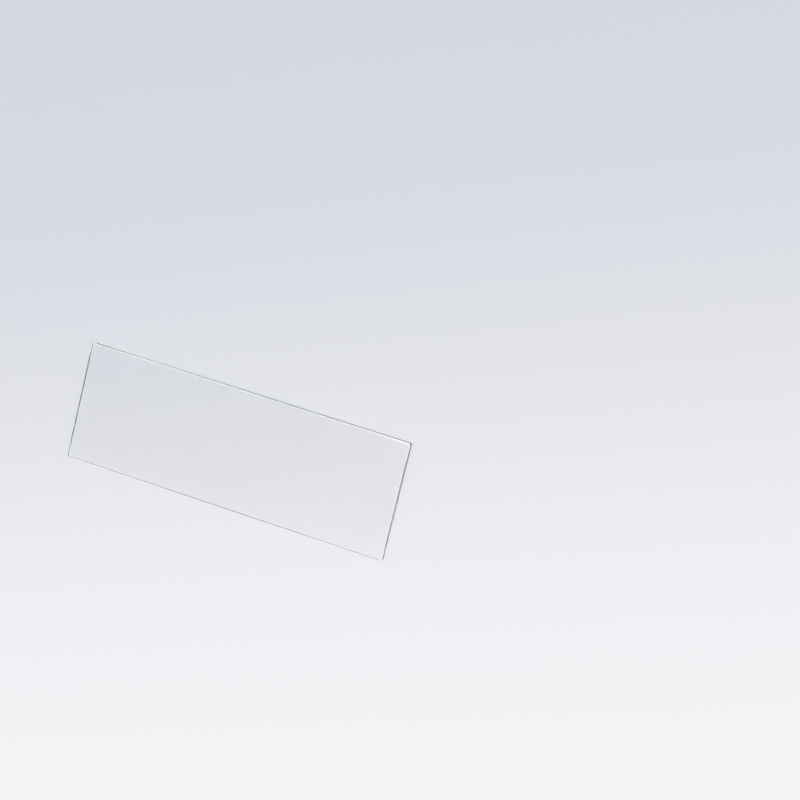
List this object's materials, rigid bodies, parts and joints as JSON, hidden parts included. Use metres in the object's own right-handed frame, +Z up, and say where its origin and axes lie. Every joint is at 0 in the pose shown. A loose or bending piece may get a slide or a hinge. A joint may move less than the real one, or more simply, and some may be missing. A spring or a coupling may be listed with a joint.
{
  "type": "microscope slide",
  "caption": "Flat rectangular plate of clear glass that carries a specimen under a microscope.",
  "frame": {"origin": "centre of the underside, on the surface that the slide lies on", "axes": "+X along the length, +Y across the width, +Z up through the thickness"},
  "size_m": [0.076, 0.026, 0.001],
  "materials": {
    "clear_glass": "clear and colourless, with polished faces and smooth cut edges"
  },
  "bodies": {
    "root": {"glass_slide": "clear_glass"}
  },
  "joints": []
}
